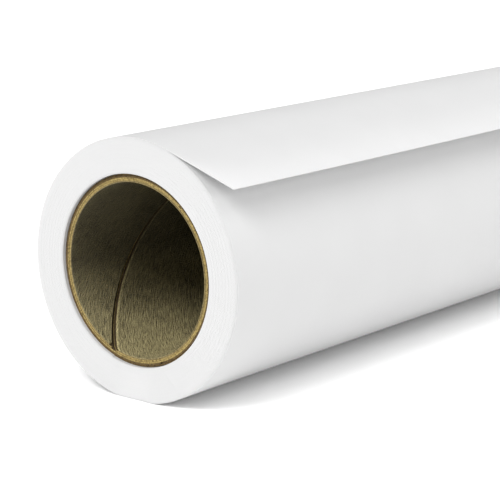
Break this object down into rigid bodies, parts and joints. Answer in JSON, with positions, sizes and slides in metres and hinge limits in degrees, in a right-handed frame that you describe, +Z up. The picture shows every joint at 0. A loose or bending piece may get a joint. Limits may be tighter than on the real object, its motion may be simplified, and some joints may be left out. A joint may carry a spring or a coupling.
{
  "type": "backdrop paper roll",
  "caption": "Roll of white seamless background paper on a spiral-wound paperboard core, lying on its side, with the sheet's free end standing off the outermost turn.",
  "frame": {"origin": "on the surface the roll rests on, under the middle of the roll's length and of its diameter", "axes": "+X along the roll's axis, +Z up, and the sheet's free end points to -Y"},
  "size_m": [1.35, 0.077, 0.0764],
  "materials": {
    "white_paper": "matt uncoated white background paper, faint tooth",
    "kraft_liner": "machine-smooth brown kraft liner with a soft sheen",
    "core_board": "matt brown core board, cut edges fibrous",
    "paper_tape": "satin paper tape"
  },
  "bodies": {
    "roll": {"core_inner_liner": "kraft_liner", "core_ply_2": "core_board", "core_ply_3": "core_board", "core_ply_4": "core_board", "core_outer_liner": "kraft_liner", "start_tape_near": "paper_tape", "start_tape_middle": "paper_tape", "start_tape_far": "paper_tape", "wound_paper": "white_paper"},
    "free_end": {"free_end": "white_paper"}
  },
  "joints": [
    {"name": "free_end_lift", "type": "hinge", "parent": "roll", "child": "free_end", "pos_m": [0, -0.01215, 0.07439], "axis": [-1, 0, 0], "range_deg": [-6, 60], "stiffness_Nm_per_rad": 0.1}
  ]
}
